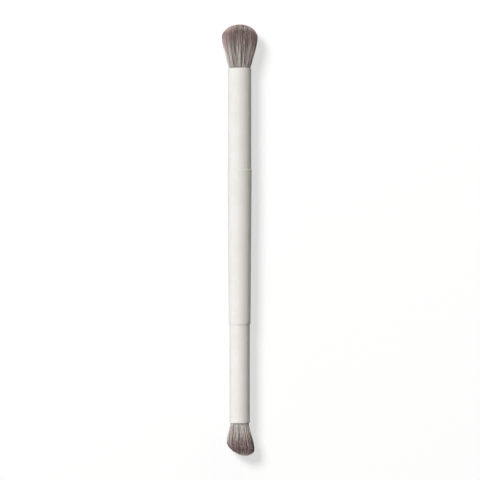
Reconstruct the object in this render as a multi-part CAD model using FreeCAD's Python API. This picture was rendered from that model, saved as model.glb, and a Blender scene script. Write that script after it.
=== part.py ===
import FreeCAD, Part
import math
import os

# A double-ended eyeshadow brush: a turned handle, a tubular ferrule on each of its two tenons, and a
# tuft of hair set in the mouth of each ferrule. The brush lies along Y with the large, domed tuft
# towards +Y and the small, slanted tuft towards -Y. The origin is on the axis, halfway along.
# Every length is in millimetres and every angle in degrees.

# Lengths along the axis, from the tip of the large tuft to the tip of the small one.
large_tuft_length = 17.5
large_ferrule_length = 41.0
handle_length = 63.4
small_ferrule_length = 39.7
small_tuft_length = 13.4

# Ferrules: drawn tubes whose mouths are rolled inwards to hold the hair.
large_ferrule_diameter = 9.5
small_ferrule_diameter = 8.3
ferrule_wall = 0.35
ferrule_edge_radius = 0.04
large_lip_bend = 0.1
small_lip_bend = 0.1

# Handle: a straight taper that stands proud of each ferrule and is crowned at the shoulders.
large_shoulder_step = 0.15
small_shoulder_step = 0.3
large_crown_length = 0.45
small_crown_length = 1.2
crown_undercut = 0.03

# Inside each ferrule: hair roots behind the lip, a resin plug behind the roots, then the tenon.
large_root_length = 13.0
small_root_length = 12.0
resin_plug_length = 7.0
resin_meniscus = 0.8
tenon_end_gap = 2.0
tenon_chamfer = 0.5
bond_gap = 0.05

# Glue grooves round each tenon.
groove_count = 3
groove_width = 1.2
groove_depth = 0.35

# Large tuft: a full dome, a little flatter than it is wide.
large_tuft_width = 14.5
large_tuft_thickness = 12.0
large_dome_rise = 5.4
large_hair_spill = 0.5

# Small tuft: its end is an ellipse tilted towards the long side, which is +X.
small_dome_length = 12.0
small_dome_depth = 7.4
small_dome_tilt = 27.0
small_dome_offset = 0.37
small_tuft_thickness = 8.2
small_hair_spill = 0.25

# Hair spills out over the rolled lip just above the mouth and flares from there at a slope, a share of
# its mean slope. Its longest tips end in a small flat, and each tuft gives way where it can lie on a
# table, above and below.
hair_spill_height = 0.4
flare_slope = 0.5
flare_sections = 4
dome_sections = 6
tip_flat_angle = 82.0
hair_give = 0.4

# Where each section of the brush starts, along Y.
brush_length = (large_tuft_length + large_ferrule_length + handle_length
                + small_ferrule_length + small_tuft_length)
large_mouth = brush_length / 2 - large_tuft_length
large_shoulder = large_mouth - large_ferrule_length
small_shoulder = large_shoulder - handle_length
small_mouth = small_shoulder - small_ferrule_length

CENTRE = FreeCAD.Vector(0, 0, 0)
ACROSS = FreeCAD.Vector(1, 0, 0)
ALONG = FreeCAD.Vector(0, 1, 0)


class End:
    """The sizes of one end of the brush in its own frame: mouth at Y 0, hair towards +Y."""

    def __init__(self, diameter, length, lip_bend, root_length):
        self.outer = diameter / 2
        self.bore = self.outer - ferrule_wall
        self.fill = self.bore - bond_gap
        self.neck = self.bore - lip_bend - bond_gap
        self.length = length
        self.lip_bend = lip_bend
        self.lip = lip_bend + ferrule_wall
        self.lip_centre = (self.outer - self.lip, -self.lip)
        self.root_back = -root_length
        self.plug_back = self.root_back - resin_plug_length
        self.tenon_end = self.plug_back - tenon_end_gap
        self.groove_floor = self.fill - groove_depth

    def grooves(self):
        """The (low, high) stations of the glue grooves, spread evenly along the tenon."""
        pitch = (self.tenon_end + self.length) / (groove_count + 1)
        middles = [-self.length + pitch * (n + 1) for n in range(groove_count)]
        return [(middle - groove_width / 2, middle + groove_width / 2) for middle in middles]


large = End(large_ferrule_diameter, large_ferrule_length, large_lip_bend, large_root_length)
small = End(small_ferrule_diameter, small_ferrule_length, small_lip_bend, small_root_length)


def at_large_end(shape):
    """Moves a shape from an end's own frame to the large end of the brush."""
    return shape.translated(ALONG * large_mouth)


def at_small_end(shape):
    """Turns a shape end for end about X and moves it to the small end of the brush."""
    return shape.rotated(CENTRE, ACROSS, 180).translated(ALONG * small_mouth)


def line(start, end):
    """A straight edge between two (radius, station) points."""
    return Part.LineSegment(FreeCAD.Vector(*start, 0), FreeCAD.Vector(*end, 0)).toShape()


def arc(start, middle, end):
    """A round edge through three (radius, station) points."""
    return Part.Arc(*[FreeCAD.Vector(*place, 0) for place in (start, middle, end)]).toShape()


def path(*corners):
    """Straight edges through a row of (radius, station) points."""
    return [line(a, b) for a, b in zip(corners, corners[1:])]


def on_circle(centre, radius, angle):
    """The point at an angle from the outward direction on a circle beside the axis."""
    turn = math.radians(angle)
    return centre[0] + radius * math.cos(turn), centre[1] + radius * math.sin(turn)


def turned(edges):
    """The solid that a closed outline of edges sweeps round the axis."""
    return Part.Face(Part.Wire(Part.__sortEdges__(edges))).revolve(CENTRE, ALONG, 360)


def ring(inner, outer, low, high):
    """A plain ring between two radii and two stations."""
    return turned(path((inner, low), (outer, low), (outer, high), (inner, high), (inner, low)))


def ferrule(end):
    """A tube with a rounded edge at the handle and a lip rolled inwards at the mouth."""
    edge_centre = (end.outer - ferrule_edge_radius, -end.length + ferrule_edge_radius)
    edge = [on_circle(edge_centre, ferrule_edge_radius, angle) for angle in (-90, -45, 0)]
    lip = [on_circle(end.lip_centre, end.lip, angle) for angle in (0, 45, 90)]
    bend = [on_circle(end.lip_centre, end.lip_bend, angle) for angle in (90, 45, 0)]
    return turned([
        arc(*edge), line(edge[-1], lip[0]), arc(*lip), line(lip[-1], bend[0]), arc(*bend),
        *path(bend[-1], (end.bore, -end.length), edge[0])])


def tenon(end):
    """A tenon with a chamfered nose and grooves for glue."""
    shaft = turned(path(
        (0, -end.length), (end.fill, -end.length), (end.fill, end.tenon_end - tenon_chamfer),
        (end.fill - tenon_chamfer, end.tenon_end), (0, end.tenon_end), (0, -end.length)))
    return shaft.cut([ring(end.groove_floor, end.bore, low, high) for low, high in end.grooves()])


def crown(end, step, shoulder, length):
    """The rounded edge of the handle at a shoulder, from the barrel down to the ferrule."""
    drop = step + crown_undercut
    radius = (length**2 + drop**2) / (2 * drop)
    half_turn = math.asin(abs(length) / radius) / 2
    inward = math.copysign(1, length)
    outer = end.outer + step
    middle = (outer - radius * (1 - math.cos(half_turn)),
              shoulder + length - inward * radius * math.sin(half_turn))
    return (outer, shoulder + length), middle, (outer - drop, shoulder)


def handle_barrel():
    """The turned handle: tapered barrel, crowned shoulders and a tenon at each end."""
    top = crown(large, large_shoulder_step, large_shoulder, -large_crown_length)
    foot = crown(small, small_shoulder_step, small_shoulder, small_crown_length)
    barrel = turned([
        line((0, small_shoulder), foot[2]), arc(*foot), line(foot[0], top[0]), arc(*top),
        *path(top[2], (0, large_shoulder), (0, small_shoulder))])
    return barrel.fuse([at_large_end(tenon(large)), at_small_end(tenon(small))]).removeSplitter()


def tenon_glue(end):
    """The rings of set glue in a tenon's grooves."""
    inner = end.groove_floor + bond_gap
    return Part.makeCompound([ring(inner, end.fill, low, high) for low, high in end.grooves()])


def tuft_root(end):
    """The gathered roots of the hair, held behind the rolled lip."""
    bend = [on_circle(end.lip_centre, end.lip_bend - bond_gap, angle) for angle in (0, 45, 90)]
    return turned([
        *path((0, 0), (0, end.root_back), (end.fill, end.root_back), bend[0]), arc(*bend),
        *path(bend[-1], (end.neck, bend[-1][1]), (end.neck, 0), (0, 0))])


def resin_plug(end):
    """The resin behind the roots, with a hollow back where it crept up the bore."""
    hollow = end.plug_back + resin_meniscus
    sphere = (end.fill**2 + resin_meniscus**2) / (2 * resin_meniscus)
    halfway = (end.fill / 2, hollow - sphere + math.sqrt(sphere**2 - (end.fill / 2) ** 2))
    return turned([
        *path((0, hollow), (0, end.root_back), (end.fill, end.root_back), (end.fill, end.plug_back)),
        arc((end.fill, end.plug_back), halfway, (0, hollow))])


def ease(height, top):
    """A smooth rise from 0 at the spill of the hair to 1 at the top, where it levels out."""
    share = (height - hair_spill_height) / (top - hair_spill_height)
    return share * share * (3 - 2 * share) + flare_slope * share * (1 - share) ** 2


def oval(height, left, right, half_thickness):
    """A closed oval across the axis, from left to right in X."""
    circle = Part.Circle(CENTRE, ALONG, 1).toShape()
    stretch = FreeCAD.Matrix()
    stretch.scale((right - left) / 2, 1, half_thickness)
    stretch.move((left + right) / 2, height, 0)
    return Part.Wire(circle.transformGeometry(stretch))


def tuft(end, length, long_half, short_half, tilt, offset, thickness, hair_spill):
    """Free hair that flares from the mouth to a dome. The dome's outline in XY is an ellipse with
    its centre at the offset, tilted from X. In Z the tuft is round but for a flat above and below."""
    lean = math.radians(tilt)
    wide = (long_half * math.cos(lean)) ** 2 + (short_half * math.sin(lean)) ** 2
    tall = (long_half * math.sin(lean)) ** 2 + (short_half * math.cos(lean)) ** 2
    skew = (long_half**2 - short_half**2) * math.sin(lean) * math.cos(lean)
    reach = math.sqrt(wide)
    rise = math.sqrt(tall)
    middle = length - rise
    spill = end.neck + hair_spill
    half_thickness = thickness / 2 + hair_give

    def side(height, sign):
        """Where the left (-1) or right (1) side of the outline is at a height above the mouth."""
        widest = middle + sign * skew / reach
        if height < widest:
            return sign * (spill + (reach + sign * offset - spill) * ease(height, widest))
        up = height - middle
        half = math.sqrt((wide - skew**2 / tall) * (1 - up**2 / tall))
        return offset + up * skew / tall + sign * half

    def section(height, half_depth, station):
        return oval(station, side(height, -1), side(height, 1), half_depth)

    sections = [oval(0, -end.neck, end.neck, end.neck)]
    for n in range(flare_sections):
        height = hair_spill_height + (middle - hair_spill_height) * n / flare_sections
        half_depth = spill + (half_thickness - spill) * ease(height, middle)
        sections.append(section(height, half_depth, height))
    for n in range(dome_sections):
        turn = math.radians(tip_flat_angle * n / (dome_sections - 1))
        height = middle + rise * math.sin(turn)
        station = middle + rise * math.sin(turn) / math.sin(math.radians(tip_flat_angle))
        sections.append(section(height, half_thickness * math.cos(turn), station))
    corner = FreeCAD.Vector(-2 * reach, 0, -thickness / 2)
    between_flats = Part.makeBox(4 * reach, length, thickness, corner)
    return Part.makeLoft(sections, True).common(between_flats)


pieces = {
    "handle_barrel": handle_barrel(),
    "large_ferrule": at_large_end(ferrule(large)),
    "small_ferrule": at_small_end(ferrule(small)),
    "large_tuft": at_large_end(tuft(
        large, large_tuft_length, large_tuft_width / 2, large_dome_rise, 0, 0,
        large_tuft_thickness, large_hair_spill)),
    "small_tuft": at_small_end(tuft(
        small, small_tuft_length, small_dome_length / 2, small_dome_depth / 2, small_dome_tilt,
        small_dome_offset, small_tuft_thickness, small_hair_spill)),
    "large_tuft_root": at_large_end(tuft_root(large)),
    "small_tuft_root": at_small_end(tuft_root(small)),
    "large_resin_plug": at_large_end(resin_plug(large)),
    "small_resin_plug": at_small_end(resin_plug(small)),
    "large_tenon_glue": at_large_end(tenon_glue(large)),
    "small_tenon_glue": at_small_end(tenon_glue(small)),
}

os.makedirs("parts", exist_ok=True)
for name, shape in pieces.items():
    if not shape.isValid() or not shape.Solids:
        raise ValueError(f"{name} isn't a sound solid")
    shape.exportStep(f"parts/{name}.step")
    stations = f"Y {shape.BoundBox.YMin:.2f} to {shape.BoundBox.YMax:.2f}"
    print(f"{name}: {len(shape.Solids)} solid, {shape.Volume:.1f} mm3, {stations}")
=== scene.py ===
import math

import bpy
import numpy as np
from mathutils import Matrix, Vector


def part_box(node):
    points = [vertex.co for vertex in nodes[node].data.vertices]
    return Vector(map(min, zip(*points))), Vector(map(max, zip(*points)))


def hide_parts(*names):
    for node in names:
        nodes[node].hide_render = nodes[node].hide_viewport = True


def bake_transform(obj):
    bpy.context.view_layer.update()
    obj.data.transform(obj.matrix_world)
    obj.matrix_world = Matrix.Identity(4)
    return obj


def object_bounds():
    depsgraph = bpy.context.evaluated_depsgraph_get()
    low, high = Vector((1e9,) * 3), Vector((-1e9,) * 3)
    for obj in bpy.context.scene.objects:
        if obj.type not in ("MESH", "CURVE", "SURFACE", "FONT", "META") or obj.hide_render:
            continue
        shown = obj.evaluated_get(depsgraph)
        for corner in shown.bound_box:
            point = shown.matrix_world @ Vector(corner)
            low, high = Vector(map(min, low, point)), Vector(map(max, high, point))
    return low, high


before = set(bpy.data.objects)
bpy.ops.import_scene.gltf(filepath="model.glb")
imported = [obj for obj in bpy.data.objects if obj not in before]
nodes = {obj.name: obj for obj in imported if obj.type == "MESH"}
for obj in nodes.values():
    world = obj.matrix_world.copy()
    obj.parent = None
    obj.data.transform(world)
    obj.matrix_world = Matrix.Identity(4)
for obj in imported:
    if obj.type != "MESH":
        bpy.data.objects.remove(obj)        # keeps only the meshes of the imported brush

# A double-ended eyeshadow brush, lying along Y with its large domed tuft towards +Y.
# Everything is in metres, in the frame of the imported model.
cadLow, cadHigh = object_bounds()
scene = bpy.context.scene
mm = 0.001
bpy.ops.object.select_all(action="DESELECT")
print("frame loaded:", ", ".join(sorted(nodes)))


# Small helpers for materials

def linear(hexColour):
    # an sRGB hex value as the linear colour that a shader takes
    parts = [int(hexColour[i:i + 2], 16) / 255 for i in (1, 3, 5)]
    return [*(c / 12.92 if c <= 0.04045 else ((c + 0.055) / 1.055) ** 2.4 for c in parts), 1.0]


def addNode(tree, kind, inputs=None, stops=(), **settings):
    # one node with its settings; an input is a value or the socket that feeds it
    node = tree.nodes.new(kind)
    for name, value in settings.items():
        setattr(node, name, value)
    for key, value in (inputs or {}).items():
        if isinstance(value, bpy.types.NodeSocket):
            tree.links.new(value, node.inputs[key])
        else:
            node.inputs[key].default_value = value
    for number, (place, hexColour) in enumerate(stops):
        steps = node.color_ramp.elements
        if number == 0:
            steps.remove(steps[1])
            steps[0].position = place
        step = steps[0] if number == 0 else steps.new(place)
        step.color = linear(hexColour)
    return node


def startMaterial(name):
    material = bpy.data.materials.new(name)
    material.use_nodes = True
    material.node_tree.nodes.clear()
    return material, material.node_tree


def dress(nodeName, material):
    for slot in nodes[nodeName].material_slots:
        slot.material = material


# Handle and ferrules: matte lacquer

lacquer = {
    "colour": "#DDDBD7",          # warm off-white
    "thinColour": "#DAD7D2",      # where the spray went on a little thinner
    "patchSize": 7.0 * mm,        # patches of thicker and thinner spray
    "peelSize": 1.1 * mm,         # orange peel, really about 0.5 mm, drawn coarser so that it shows
    "peelHeight": 0.012 * mm,
    "roughness": 0.75,
}


def sprayedLacquer(tree, place):
    # the colour and the surface of the lacquer, shared by the wood and the metal under it
    patches = addNode(tree, "ShaderNodeTexNoise", {
        "Vector": place, "Scale": 1 / lacquer["patchSize"], "Detail": 3.0, "Roughness": 0.6})
    colour = addNode(tree, "ShaderNodeValToRGB", {"Fac": patches.outputs["Fac"]}, stops=(
        (0.35, lacquer["thinColour"]), (0.6, lacquer["colour"])))
    peel = addNode(tree, "ShaderNodeTexNoise", {
        "Vector": place, "Scale": 1 / lacquer["peelSize"], "Detail": 1.0})
    bump = addNode(tree, "ShaderNodeBump", {
        "Height": peel.outputs["Fac"], "Strength": 0.5, "Distance": lacquer["peelHeight"]})
    return colour.outputs["Color"], bump.outputs["Normal"]


def lacqueredPart(name):
    # sprayed matte lacquer gives an even, very soft sheen with a faint orange peel
    material, tree = startMaterial(name)
    place = addNode(tree, "ShaderNodeTexCoord").outputs["Object"]
    colour, normal = sprayedLacquer(tree, place)
    surface = addNode(tree, "ShaderNodeBsdfPrincipled", {
        "Base Color": colour, "Normal": normal, "Roughness": lacquer["roughness"], "IOR": 1.5})
    addNode(tree, "ShaderNodeOutputMaterial", {"Surface": surface.outputs["BSDF"]})
    return material


dress("handle_barrel", lacqueredPart("sprayed_matte_lacquer_on_birch"))
ferruleFinish = lacqueredPart("sprayed_matte_lacquer_on_aluminium")
dress("large_ferrule", ferruleFinish)
dress("small_ferrule", ferruleFinish)
print("lacquer done")


# Resin plugs and glue rings, shut inside the ferrules

resin = {
    "material": "cast_amber_epoxy",
    "colour": "#C9A766",
    "cloudColour": "#B58B45",
    "cloudSize": 2.0 * mm,
    "roughness": 0.25,
}
tenonGlue = {
    "material": "set_wood_glue",
    "colour": "#E3DCC4",
    "cloudColour": "#D3C9A8",
    "cloudSize": 0.8 * mm,
    "roughness": 0.4,
}


def castFilling(filling):
    # cast resin or set glue is cloudy inside and smooth where it wetted the bore
    material, tree = startMaterial(filling["material"])
    place = addNode(tree, "ShaderNodeTexCoord").outputs["Object"]
    clouds = addNode(tree, "ShaderNodeTexNoise", {
        "Vector": place, "Scale": 1 / filling["cloudSize"], "Detail": 4.0})
    shade = addNode(tree, "ShaderNodeValToRGB", {"Fac": clouds.outputs["Fac"]}, stops=(
        (0.3, filling["colour"]), (0.7, filling["cloudColour"])))
    surface = addNode(tree, "ShaderNodeBsdfPrincipled", {
        "Base Color": shade.outputs["Color"], "Roughness": filling["roughness"], "IOR": 1.55})
    addNode(tree, "ShaderNodeOutputMaterial", {"Surface": surface.outputs["BSDF"]})
    return material


epoxyMaterial = castFilling(resin)
glueMaterial = castFilling(tenonGlue)
for end in ("large", "small"):
    dress(end + "_resin_plug", epoxyMaterial)
    dress(end + "_tenon_glue", glueMaterial)
print("fillings done")


# Hair: every fibre is a tapered tube that runs from the resin through the rolled lip to the dome

hair = {
    # from painted shade at the root by the mouth up to the height of the dome, then the fibre's own
    # tip; the palest last bands are painted light at the tips
    "stops": (
        (0.022, "#6E665F"), (0.046, "#B4ADA7"), (0.12, "#BBB3AE"), (0.25, "#C0B6B1"),
        (0.36, "#B7ABA6"), (0.48, "#9F8F8C"), (0.6, "#8F7C7A"), (0.72, "#867473"),
        (0.79, "#917F7D"), (0.85, "#C2B0AC"), (1.0, "#F3E0DD")),
    "mouthBand": 0.02,            # place on the dye bands at the mouth and at the top of the dome
    "domeBand": 0.88,
    "darkest": 0.22,              # tone of the darkest and the palest fibre
    "palest": 1.7,
    "roughness": 0.5,
}


def dyedFibreAndPaintedLight():
    # crimped synthetic fibre with a soft gloss, dyed in bands from greige roots to mauve brown
    # tips, with painted shade at the mouth and painted light at the tips and round the rim
    material, tree = startMaterial("dip_dyed_fibre_and_painted_light")
    place = addNode(tree, "ShaderNodeUVMap", uv_map="OFBake")
    parts = addNode(tree, "ShaderNodeSeparateXYZ", {"Vector": place.outputs["UV"]})
    band = addNode(tree, "ShaderNodeValToRGB", {"Fac": parts.outputs["Y"]}, stops=hair["stops"])
    tone = addNode(tree, "ShaderNodeMapRange", {
        "Value": parts.outputs["X"], "To Min": hair["darkest"], "To Max": hair["palest"]})
    colour = addNode(tree, "ShaderNodeVectorMath", {
        0: band.outputs["Color"], "Scale": tone.outputs["Result"]}, operation="SCALE")
    surface = addNode(tree, "ShaderNodeBsdfPrincipled", {
        "Base Color": colour.outputs["Vector"], "Roughness": hair["roughness"], "IOR": 1.53})
    addNode(tree, "ShaderNodeOutputMaterial", {"Surface": surface.outputs["BSDF"]})
    return material


fibreMaterial = dyedFibreAndPaintedLight()

largeTuft = {
    "node": "large_tuft",
    "rootNode": "large_tuft_root",
    "head": "large_head",
    "outward": 1,                 # the hair points towards +Y
    "neckRadius": 4.25 * mm,      # where the rolled lip holds the hair
    "spillRadius": 4.75 * mm,     # just above the lip
    "spillHeight": 0.4 * mm,
    "flareSlope": 0.5,            # start of the flare, as a share of its mean slope
    "domeLong": 7.25 * mm,        # half axes of the dome's outline, seen from above
    "domeShort": 5.4 * mm,
    "domeTilt": math.radians(0),
    "domeOffset": 0.05 * mm,
    "curl": 0.35,                 # how far the outer fibres turn inwards over the dome
    "trim": 0.0,                  # how far the hair stops short of the solid
    "tones": (-0.25, -0.13, -0.04),  # tone at the roots, halfway and at the tips
    "paintedSideShading": (-0.04, -0.18),      # painted light and shade: change of tone towards +X, at the roots and at the tips
    "paintedRimLight": 0.7,               # painted light: paler round the rim, where light gets through
    "tipShade": 0.98,             # place on the dye bands where the tips end, and so how much painted light they get
    "bendEnd": 12.0 * mm,         # a height up the hair
    "seed": 7,
}
smallTuft = {
    "node": "small_tuft",
    "rootNode": "small_tuft_root",
    "head": "small_head",
    "outward": -1,
    "neckRadius": 3.65 * mm,
    "spillRadius": 3.9 * mm,
    "spillHeight": 0.4 * mm,
    "flareSlope": 0.5,
    "domeLong": 6.0 * mm,
    "domeShort": 3.7 * mm,
    "domeTilt": math.radians(27),
    "domeOffset": 0.37 * mm,
    "curl": 0.35,
    "trim": 0.36 * mm,
    "tones": (0.2, -0.08, 0.07),
    "paintedSideShading": (0.2, -0.06),
    "paintedRimLight": 0.08,
    "tipShade": 0.9,
    "bendEnd": 9.0 * mm,
    "seed": 12,
}
fibre = {
    "radius": 0.075 * mm,         # really about half of that, drawn thicker so fewer fill the tuft
    "rings": 8,                   # rings of the tube above the mouth
    "lastRing": 0.97,             # where the taper to the point starts
    "tipWidth": 0.75,             # width there, as a share
    "crowding": 1.06,             # crowds the outer fibres at the rim
    "lockJitter": 0.3,            # how unevenly locks are spread, in spacings between locks
    "lockScatter": 0.62,          # how far fibres stray from their lock, in the same spacings
    "squeeze": (0.5, 0.9),        # how far a lock is drawn together low down
    "recess": 0.14,               # how deep a lock can lie behind its neighbours
    "sway": 0.035,                # sideways wander of a lock, as a share of the tuft's radius
    "swayTurns": (0.4, 1.1),      # waves of it along a lock
    "frizz": (0.02 * mm, 0.11 * mm),
    "frizzTurns": (0.6, 1.6),
    "roundRim": 0.03,             # keeps the dome round at its rim
    "shortness": 0.45,            # how far down the outermost fibres can end, towards half length
    "tipScatter": (-0.035, 0.015),  # how far fibres stop short of the dome or stick out, as a share
    "lockEnds": 0.006,            # the same for whole locks, and the limits of it
    "lockEndLimits": (-0.02, 0.015),
    "paleTip": 0.1,               # share of a fibre that pales towards its tip, painted light through the tip
    "frontTip": 0.6,              # how much less it pales on the front and the back of the tuft
    "sideTip": 0.7,               # the same at the sides of the tuft, for the painted tip light too
    "toneSpread": 0.21,           # between locks, and half of it within a lock
    "evenTip": 0.5,               # how far these differences fade towards the tips
    "toneWave": 0.1,              # change of tone along a lock
    "toneTurns": (0.7, 1.8),      # waves of it along a lock
    "paintedTipLight": 0.64,              # painted light: paler tips on the outline
    "tipStart": 0.8,              # where these start, as a share of the fibre
    "toneLimits": (0.02, 0.96),
    "columnWidth": 0.012,         # width of a fibre in the UV map
    "capHeight": 0.005,           # height of its root there
    "heightSteps": 300,           # how finely the end of a fibre is sought
}


def easeUp(share):
    share = np.clip(share, 0, 1)
    return share * share * (3 - 2 * share)


def measureTuft(tuft):
    # adds the sizes that follow from the solid and from the dome's outline
    low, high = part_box(tuft["node"])
    rootLow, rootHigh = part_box(tuft["rootNode"])
    lean = tuft["domeTilt"]
    longSquare = tuft["domeLong"] ** 2
    shortSquare = tuft["domeShort"] ** 2
    wide = longSquare * math.cos(lean) ** 2 + shortSquare * math.sin(lean) ** 2
    tall = longSquare * math.sin(lean) ** 2 + shortSquare * math.cos(lean) ** 2
    tuft["mouth"] = low.y if tuft["outward"] > 0 else high.y
    tuft["length"] = high.y - low.y - tuft["trim"]
    tuft["rootDepth"] = rootHigh.y - rootLow.y
    tuft["halfThickness"] = high.z
    tuft["reach"] = math.sqrt(wide)
    tuft["rise"] = math.sqrt(tall)
    tuft["middle"] = tuft["length"] - tuft["rise"]
    tuft["slant"] = (longSquare - shortSquare) * math.sin(lean) * math.cos(lean) / tuft["reach"]


def flare(tuft, height, top, reach):
    # half the width of the tuft at a height, from the neck out over the lip and up to its belly
    neck, spill, lipTop = tuft["neckRadius"], tuft["spillRadius"], tuft["spillHeight"]
    lip = neck + (spill - neck) * easeUp(height / lipTop)
    share = np.clip((height - lipTop) / (top - lipTop), 0, 1)
    return lip + (reach - spill) * (easeUp(share) + tuft["flareSlope"] * share * (1 - share) ** 2)


def fibrePlace(tuft, p, q, height):
    # where a fibre from (p, q) of the unit disc runs at a height: across, in thickness, and how far
    # up the dome, from 0 at the belly to 1 on the outline as seen from above
    belly = tuft["middle"] + p * tuft["slant"]
    above = np.clip((height - belly) / (tuft["length"] - belly), 0, 1)
    inward = 1 - tuft["curl"] * (1 - np.sqrt(1 - above ** 2))
    risen = easeUp((height - tuft["spillHeight"]) / (belly - tuft["spillHeight"]))
    across = p * flare(tuft, height, belly, tuft["reach"]) * inward + tuft["domeOffset"] * risen
    x = across - tuft["domeOffset"]
    y = height - tuft["middle"]
    along = x * math.cos(tuft["domeTilt"]) + y * math.sin(tuft["domeTilt"])
    up = y * math.cos(tuft["domeTilt"]) - x * math.sin(tuft["domeTilt"])
    size = (along / tuft["domeLong"]) ** 2 + (up / tuft["domeShort"]) ** 2
    dome = np.maximum(size - p ** 2, 0) / np.maximum(1 - p ** 2, fibre["roundRim"])
    dome = np.where(height < belly, 0, dome)
    thickness = flare(tuft, height, tuft["middle"], tuft["halfThickness"])
    return across, q * thickness * np.sqrt(1 - np.minimum(dome, 1)), dome


def setLocks(count, rng):
    # centres of the locks, spread over the unit disc like seeds in a sunflower
    number = np.arange(count)
    radius = fibre["crowding"] * np.sqrt((number + 0.5) / count)
    turn = number * math.pi * (3 - math.sqrt(5))
    scatter = rng.normal(0, fibre["lockJitter"] / math.sqrt(count), (2, count))
    return {
        "p": radius * np.cos(turn) + scatter[0],
        "q": radius * np.sin(turn) + scatter[1],
        "squeeze": rng.uniform(*fibre["squeeze"], count),
        "recess": fibre["recess"] * rng.uniform(0, 1, count) ** 2,
        "sway": rng.normal(0, fibre["sway"], (2, count)),
        "swayTurns": rng.uniform(*fibre["swayTurns"], count),
        "swayStart": rng.uniform(0, 2 * math.pi, count),
        "tone": rng.normal(0, fibre["toneSpread"], count),
        "toneTurns": rng.uniform(*fibre["toneTurns"], count),
        "toneStart": rng.uniform(0, 2 * math.pi, count),
        "end": rng.normal(0, fibre["lockEnds"], count),
    }


def pickLocks(layer, rng):
    # each fibre's own lock, from the ring of locks that the layer fills, and its offset from it
    count = layer["fibres"]
    locks = setLocks(layer["locks"], rng)
    centre = np.hypot(locks["p"], locks["q"])
    ring = np.flatnonzero((centre >= layer["inside"]) & (centre < layer["outside"]))
    lock = rng.choice(ring, count)
    own = {name: values[..., lock, None] for name, values in locks.items()}
    own["offset"] = rng.normal(0, fibre["lockScatter"] / math.sqrt(layer["locks"]), (2, count, 1))
    return own


def strandInDisc(layer, own, share):
    # where each fibre lies in the unit disc at shares of its length
    bow = np.sin(math.pi * share ** 0.5)
    wave = np.sin(2 * math.pi * own["swayTurns"] * share + own["swayStart"]) * easeUp(share * 2)
    p = own["p"] + own["offset"][0] * (1 - own["squeeze"] * bow) + own["sway"][0] * wave
    q = own["q"] + own["offset"][1] * (1 - own["squeeze"] * bow) + own["sway"][1] * wave
    inwards = layer["reach"] * (1 - own["recess"] * bow) / np.maximum(np.hypot(p, q), 1)
    return p * inwards, q * inwards


def strandEnds(tuft, own, tipP, tipQ, rng):
    # each fibre ends on the outline, or further down where it lies on the outside
    heights = np.linspace(0, tuft["length"], fibre["heightSteps"])
    inside = fibrePlace(tuft, tipP, tipQ, heights)[2] < 1
    ends = np.where(inside.all(axis=1), tuft["length"], heights[inside.argmin(axis=1)])[:, None]
    spare = ends - tuft["length"] / 2
    ends -= spare * fibre["shortness"] * tipQ ** 2 * rng.random(tipQ.shape) ** 2
    lockEnd = np.clip(own["end"], *fibre["lockEndLimits"])
    return ends * (1 + (lockEnd + rng.uniform(*fibre["tipScatter"], tipQ.shape)))


def fibreTones(tuft, layer, own, share, p, tipQ, rng):
    # tone along each fibre, from 0 for the darkest to 1 for the palest, with painted side shading,
    # rim light and tip light
    uneven = own["tone"] + rng.normal(0, fibre["toneSpread"] / 2, tipQ.shape)
    tone = layer["tone"] + uneven * (1 - fibre["evenTip"] * share ** 3)
    wave = np.sin(2 * math.pi * own["toneTurns"] * share + own["toneStart"])
    tone = tone + fibre["toneWave"] * wave
    # painted light and shade: one side of the tuft paler or darker
    lean = tuft["paintedSideShading"][0] + (tuft["paintedSideShading"][1] - tuft["paintedSideShading"][0]) * share ** 2
    tone = tone + np.interp(share, (0, 0.5, 1), tuft["tones"]) + lean * p
    # painted light: paler round the rim
    tone = tone + tuft["paintedRimLight"] * p ** 4 * np.sqrt(share)
    # painted light: paler tips on the outline
    nearTip = easeUp((share - fibre["tipStart"]) / (1 - fibre["tipStart"]))
    tone = tone + fibre["paintedTipLight"] * (1 - tipQ ** 2) * (1 - fibre["sideTip"] * p ** 2) * nearTip
    return np.clip(tone, *fibre["toneLimits"])


def dyeAndTipLightPlaces(tuft, share, height, tipP, tipQ):
    # place on the dye bands: by height in the tuft, and close to the tip by the fibre's own length,
    # where it pales with painted light
    risen = np.clip(height / tuft["length"], 0, 1)
    up = hair["mouthBand"] + (hair["domeBand"] - hair["mouthBand"]) * risen
    # painted light: the tips pale, less so where they face the front, the back or the sides
    pale = np.clip((share - 1) / fibre["paleTip"] + 1, 0, 1) ** 2
    pale = pale * (1 - fibre["frontTip"] * tipQ ** 2) * (1 - fibre["sideTip"] * tipP ** 2)
    return up + (tuft["tipShade"] - up) * pale


def combFibres(tuft, layer, rng):
    # centre lines of a layer's fibres, with their tones and their places on the dye bands
    own = pickLocks(layer, rng)
    tipP, tipQ = strandInDisc(layer, own, np.ones(1))
    ends = strandEnds(tuft, own, tipP, tipQ, rng)
    share = np.append(np.linspace(0, fibre["lastRing"], fibre["rings"]), 1)
    height = ends * share
    p, q = strandInDisc(layer, own, share)
    across, depth, _ = fibrePlace(tuft, p, q, height)

    # a fine crimp of each fibre's own, which grows towards its tip
    each = (2, layer["fibres"], 1)
    size = rng.uniform(*fibre["frizz"], each) * share ** 1.5
    turns = rng.uniform(*fibre["frizzTurns"], each)
    start = rng.uniform(0, 2 * math.pi, each)
    crimp = size * np.sin(2 * math.pi * turns * share + start)
    limit = tuft["halfThickness"] - fibre["radius"]
    line = np.stack([across + crimp[0], height, np.clip(depth + crimp[1], -limit, limit)], axis=-1)

    tone = fibreTones(tuft, layer, own, share, p, tipQ, rng)
    return line, tone, dyeAndTipLightPlaces(tuft, share, height, tipP, tipQ)


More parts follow.
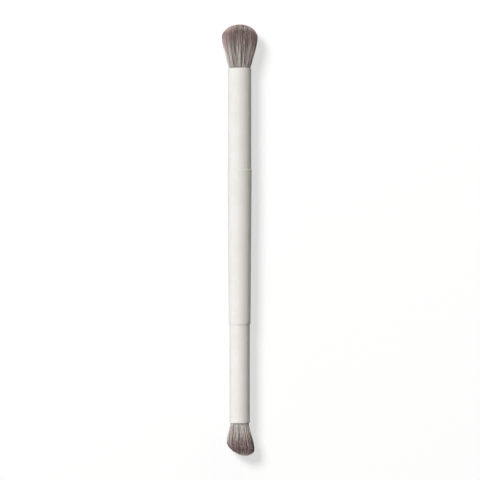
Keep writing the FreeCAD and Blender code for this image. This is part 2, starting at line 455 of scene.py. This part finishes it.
def tubePoints(tuft, line, radius, rng):
    # three points round each ring of every fibre, from a ring down on the resin up, then its tip
    count = len(line)
    root = line[:, :1] * (1, 0, 1) - (0, tuft["rootDepth"], 0)
    line = np.concatenate([root, line], axis=1)
    share = np.append(0, np.linspace(0, fibre["lastRing"], fibre["rings"]))
    radius = radius * (1 - (1 - fibre["tipWidth"]) * share[:, None] ** 4)
    turn = rng.uniform(0, 2 * math.pi, (count, 1, 1)) + np.arange(3) * 2 * math.pi / 3
    x = line[:, :-1, None, 0] + radius * np.cos(turn)
    z = line[:, :-1, None, 2] + radius * np.sin(turn) * tuft["outward"]
    h = np.broadcast_to(line[:, :-1, None, 1], x.shape)
    tube = np.stack([x, h, z], axis=-1).reshape(count, -1, 3)
    points = np.concatenate([tube, line[:, -1:]], axis=1).reshape(-1, 3)
    points[:, 1] = tuft["mouth"] + tuft["outward"] * points[:, 1]
    points[:, 2] = np.maximum(points[:, 2], cadLow.z)
    return points


def tubeFaces():
    # faces of one tube, a corner as its ring and its place round it: the sides, then tip and root
    last = fibre["rings"]
    sides = [((ring, side), (ring + 1, side), (ring + 1, side + 1), (ring, side + 1))
             for ring in range(last) for side in range(3)]
    tip = [((last, side), (last + 1, side + 0.5), (last, side + 1)) for side in range(3)]
    root = [((0, 0), (0, 1), (0, 2))]
    return np.array(sides), np.array(tip + root)


def growTubes(name, tuft, line, tone, up, radius, rng):
    # a three sided tapered tube along each centre line, closed at the root and at the tip
    points = tubePoints(tuft, line, radius, rng)
    tone = np.concatenate([tone[:, :1], tone], axis=1)
    up = np.concatenate([up[:, :1], up], axis=1)
    tip = 3 * (fibre["rings"] + 1)
    first = np.arange(len(line))[:, None, None] * (tip + 1)
    faces = []
    uvs = []
    for pattern in tubeFaces():
        ring = pattern[..., 0].astype(int)
        place = pattern[..., 1]
        corner = np.minimum(3 * ring + place % 3, tip).astype(int)
        faces += (first + corner).reshape(-1, corner.shape[1]).tolist()
        # in the UV map, u is the tone and v is the place on the dye bands
        u = tone[:, ring] + place * fibre["columnWidth"] / 3
        uvs.append(np.stack([u, up[:, ring]], axis=-1))
    uvs[-1][:, -1, 1, 1] -= fibre["capHeight"]

    mesh = bpy.data.meshes.new(name)
    mesh.from_pydata(points.tolist(), [], faces)
    mesh.update()
    uvMap = mesh.uv_layers.new(name="OFBake")
    corners = np.concatenate([part.ravel() for part in uvs])
    uvMap.uv.foreach_set("vector", corners.astype(np.float32))
    mesh.materials.append(fibreMaterial)
    mesh.shade_smooth()
    piece = bpy.data.objects.new(name, mesh)
    scene.collection.objects.link(piece)
    return piece


def makeTuft(tuft, layers):
    measureTuft(tuft)
    rng = np.random.default_rng(tuft["seed"])
    for layer in layers:
        name = tuft["node"] + "_" + layer["name"]
        line, tone, up = combFibres(tuft, layer, rng)
        piece = growTubes(name, tuft, line, tone, up, fibre["radius"] * layer["width"], rng)
        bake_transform(piece)
        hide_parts(tuft["node"], tuft["rootNode"])
        print(name, "has", len(line), "fibres and", len(piece.data.polygons), "faces")


# each layer: locks over the whole disc, the ring of them that it fills, how far out that lies,
# the number of its fibres, their tone and their width
makeTuft(largeTuft, (
    {"name": "inner_hair", "locks": 150, "inside": 0, "outside": 0.75, "reach": 1,
     "fibres": 2600, "tone": 0.16, "width": 1},
    {"name": "outer_hair", "locks": 700, "inside": 0.7, "outside": 2, "reach": 0.965,
     "fibres": 3700, "tone": 0.16, "width": 1},
    # wisps and stray hair get pale tones: painted light, as light gets through thin hair at the rim
    {"name": "wisps", "locks": 1500, "inside": 0.97, "outside": 2, "reach": 0.985,
     "fibres": 400, "tone": 0.8, "width": 1.1},
    {"name": "stray_hair", "locks": 1500, "inside": 0.97, "outside": 2, "reach": 1,
     "fibres": 130, "tone": 0.87, "width": 0.7},
))
makeTuft(smallTuft, (
    {"name": "inner_hair", "locks": 100, "inside": 0, "outside": 0.7, "reach": 1,
     "fibres": 1800, "tone": 0.25, "width": 1},
    {"name": "outer_hair", "locks": 440, "inside": 0.66, "outside": 2, "reach": 0.965,
     "fibres": 3000, "tone": 0.25, "width": 1},
    # wisps and stray hair get pale tones: painted light, as light gets through thin hair at the rim
    {"name": "wisps", "locks": 900, "inside": 0.97, "outside": 2, "reach": 0.985,
     "fibres": 230, "tone": 0.74, "width": 1.1},
    {"name": "stray_hair", "locks": 900, "inside": 0.97, "outside": 2, "reach": 1,
     "fibres": 70, "tone": 0.78, "width": 0.7},
))
print("hair done")


# Studio: a pale floor, soft lights all round and the camera straight above. One light falls on the
# floor alone and gives the soft shadow there, and the key falls on the brush alone.

studio = {
    "frameWidth": 194.6 * mm,     # width of the picture at the brush's axis
    "cameraHeight": 2.5,
    "cameraShift": (0.16 * mm, 0.2 * mm),
    "sensorWidth": 36.0,          # in millimetres, as the lens is
    "floorSize": 8.0,
    "floorShade": 0.36,           # the table top as the camera sees it
    "floorGlow": 0.63,
    "bounceShade": 0.5,           # what the brush gets back from it
    "lightDistance": 4.0,
    "lightSize": 1.6,
    "lights": {                   # name: direction, watts, colour and what it lights
        "key": ((-0.57, 0.0, 1.0), 171, "#FFFFFF", "brush"),
        "shadow": ((-0.57, 0.62, 1.0), 190, "#FFFFFF", "floor"),
        "fill": ((-1.0, 0.1, 0.15), 18, "#E8F0FF", "both"),
        "side": ((1.0, 3.2, 0.58), 67, "#FFF5E8", "both"),
        "back": ((-0.2, 1.0, 0.3), 20, "#FFFFFF", "both"),
    },
    "ambient": 0.05,
    "ambientColour": "#FFFBF3",   # daylight off warm walls
}


def tableTop():
    # white acrylic lit from below, which keeps the shadow light
    material, tree = startMaterial("backlit_white_acrylic")
    seen = addNode(tree, "ShaderNodeBsdfPrincipled", {
        "Base Color": [studio["floorShade"]] * 3 + [1.0], "Roughness": 0.9,
        "Specular IOR Level": 0.0, "Emission Color": linear("#FFFFFF"),
        "Emission Strength": studio["floorGlow"]})
    bounced = addNode(tree, "ShaderNodeBsdfDiffuse", {"Color": [studio["bounceShade"]] * 3 + [1.0]})
    path = addNode(tree, "ShaderNodeLightPath")
    both = addNode(tree, "ShaderNodeMixShader", {
        0: path.outputs["Is Camera Ray"], 1: bounced.outputs["BSDF"], 2: seen.outputs["BSDF"]})
    addNode(tree, "ShaderNodeOutputMaterial", {"Surface": both.outputs["Shader"]})
    return material


def keepLight(lamp, floor, lit):
    # keeps a light to the floor, or off the floor so that it falls on the brush alone
    receivers = bpy.data.collections.new(lamp.name + "_receivers")
    receivers.objects.link(floor)
    state = "INCLUDE" if lit == "floor" else "EXCLUDE"
    receivers.collection_objects[0].light_linking.link_state = state
    lamp.light_linking.receiver_collection = receivers


bpy.ops.mesh.primitive_plane_add(size=studio["floorSize"], location=(0, 0, cadLow.z))
floor = bpy.context.object
floor.name = "floor"
bpy.ops.object.transform_apply()
floor.data.materials.append(tableTop())

for name, (direction, watts, colour, lit) in studio["lights"].items():
    away = Vector(direction).normalized()
    bpy.ops.object.light_add(type="AREA", location=away * studio["lightDistance"])
    lamp = bpy.context.object
    lamp.name = name + "_light"
    lamp.rotation_euler = away.to_track_quat("Z", "Y").to_euler()
    lamp.data.shape = "DISK"
    lamp.data.size = studio["lightSize"]
    lamp.data.energy = watts
    lamp.data.color = linear(colour)[:3]
    if lit != "both":
        keepLight(lamp, floor, lit)

world = bpy.data.worlds.new("studio")
world.use_nodes = True
world.node_tree.nodes.clear()
glow = addNode(world.node_tree, "ShaderNodeBackground", {
    "Color": linear(studio["ambientColour"]), "Strength": studio["ambient"]})
backdrop = addNode(world.node_tree, "ShaderNodeBackground", {
    "Color": linear("#FFFFFF"), "Strength": 1.0})
rays = addNode(world.node_tree, "ShaderNodeLightPath")
shown = addNode(world.node_tree, "ShaderNodeMixShader", {
    0: rays.outputs["Is Camera Ray"], 1: glow.outputs["Background"],
    2: backdrop.outputs["Background"]})
addNode(world.node_tree, "ShaderNodeOutputWorld", {"Surface": shown.outputs["Shader"]})
scene.world = world
scene.view_settings.view_transform = "Standard"

cameraPlace = (*studio["cameraShift"], studio["cameraHeight"])
bpy.ops.object.camera_add(location=cameraPlace, rotation=(0, 0, 0))
camera = bpy.context.object
camera.name = "camera"
camera.data.sensor_width = studio["sensorWidth"]
camera.data.lens = studio["sensorWidth"] * studio["cameraHeight"] / studio["frameWidth"]
scene.camera = camera
print("studio done")
